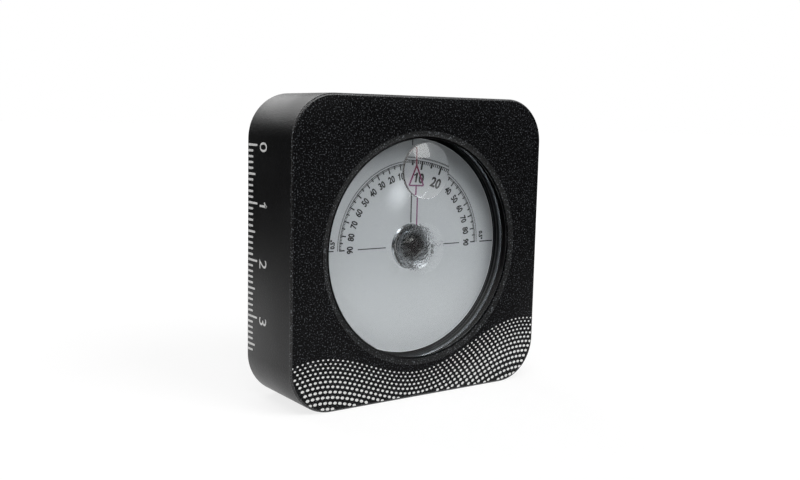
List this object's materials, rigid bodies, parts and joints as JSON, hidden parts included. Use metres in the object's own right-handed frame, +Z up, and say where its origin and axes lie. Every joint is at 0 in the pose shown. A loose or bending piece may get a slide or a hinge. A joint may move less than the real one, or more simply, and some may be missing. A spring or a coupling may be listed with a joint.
{
  "type": "inclinometer",
  "caption": "Pocket inclinometer: square black metal block with a round window, a weighted dial that swings on a horizontal pivot, a magnifier over the mark and a rule on one side.",
  "frame": {"origin": "middle of the block's underside, halfway between its front and back faces", "axes": "+Z up; the dial faces -Y; the dial's pivot runs along Y; +X is to the right seen from the front, and the printed rule is on the -X side"},
  "size_m": [0.054, 0.0173, 0.054],
  "materials": {
    "block_black": "blasted and black anodised",
    "cover_black": "blasted and black anodised",
    "screw_black": "black oxide",
    "capsule_black": "moulded, satin",
    "crystal": "clear, polished",
    "dial_white": "pale satin paint",
    "steel": "turned",
    "brass": "turned",
    "jewel": "polished agate",
    "rubber": "matt",
    "print_white": "screen-printed ink",
    "scale_ink": "screen-printed ink",
    "index_red": "screen-printed ink"
  },
  "bodies": {
    "block": {"housing": "block_black", "front_crystal": "crystal", "magnifier": "crystal", "crystal_seal": "rubber", "capsule_cup": "capsule_black", "front_jewel": "jewel", "rear_jewel": "jewel", "bearing_screw": "brass", "bearing_locknut": "brass", "diaphragm": "rubber", "diaphragm_retainer": "steel", "filler_plug": "brass", "filler_seal": "rubber", "cushion_ring": "rubber", "back_cover": "cover_black", "cover_screws": "screw_black"},
    "dial": {"dial_disc": "dial_white", "dial_hub": "brass", "hub_cap": "steel", "pivot_staff": "steel", "counterweight": "brass"}
  },
  "joints": [
    {"name": "dial_swing", "type": "hinge", "parent": "block", "child": "dial", "pos_m": [0, 0, 0.027], "axis": [0, 1, 0], "continuous": true}
  ]
}
